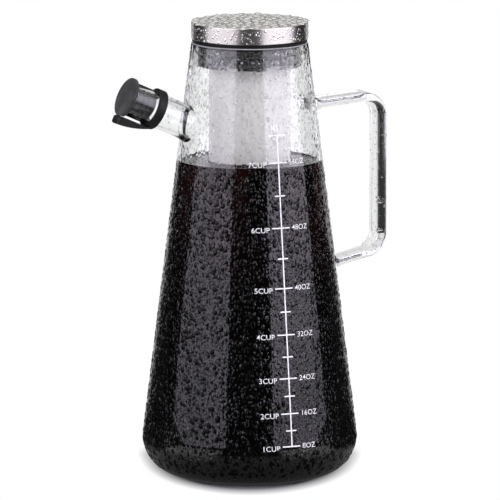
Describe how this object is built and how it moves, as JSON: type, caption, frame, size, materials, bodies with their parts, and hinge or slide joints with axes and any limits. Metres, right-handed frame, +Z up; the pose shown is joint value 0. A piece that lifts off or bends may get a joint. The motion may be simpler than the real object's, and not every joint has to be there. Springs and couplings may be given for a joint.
{
  "type": "cold brew coffee maker",
  "caption": "Conical glass carafe with a fused handle and pour spout, a steel mesh filter hung in its mouth, a steel lid and a tethered silicone stopper.",
  "frame": {"origin": "centre of the carafe's flat base, on the table", "axes": "+Z up along the carafe's axis, +X towards the handle, -X towards the pour spout"},
  "size_m": [0.1737, 0.128, 0.2722],
  "materials": {
    "borosilicate_glass": "clear and polished",
    "brushed_steel": "fine brushed",
    "steel_mesh": "fine woven mesh",
    "black_silicone": "matte",
    "black_plastic": "satin"
  },
  "bodies": {
    "carafe": {"carafe_body": "borosilicate_glass", "pour_spout": "borosilicate_glass", "handle": "borosilicate_glass", "stopper_ring": "black_silicone"},
    "stopper": {"stopper_cap": "black_silicone"},
    "filter": {"filter_collar": "black_silicone", "filter_rim": "brushed_steel", "filter_sleeve": "steel_mesh", "filter_base": "brushed_steel"},
    "lid": {"lid_shell": "brushed_steel", "lid_core": "black_plastic", "lid_seal": "black_silicone"}
  },
  "joints": [
    {"name": "filter_lift", "type": "slide", "parent": "carafe", "child": "filter", "axis": [0, 0, 1], "range_m": [0, 0.245]},
    {"name": "lid_lift", "type": "slide", "parent": "filter", "child": "lid", "axis": [0, 0, 1], "range_m": [0, 0.06]},
    {"name": "stopper_flip", "type": "hinge", "parent": "carafe", "child": "stopper", "pos_m": [-0.08439, 0, 0.21745], "axis": [0, -1, 0], "range_deg": [0, 150]}
  ]
}
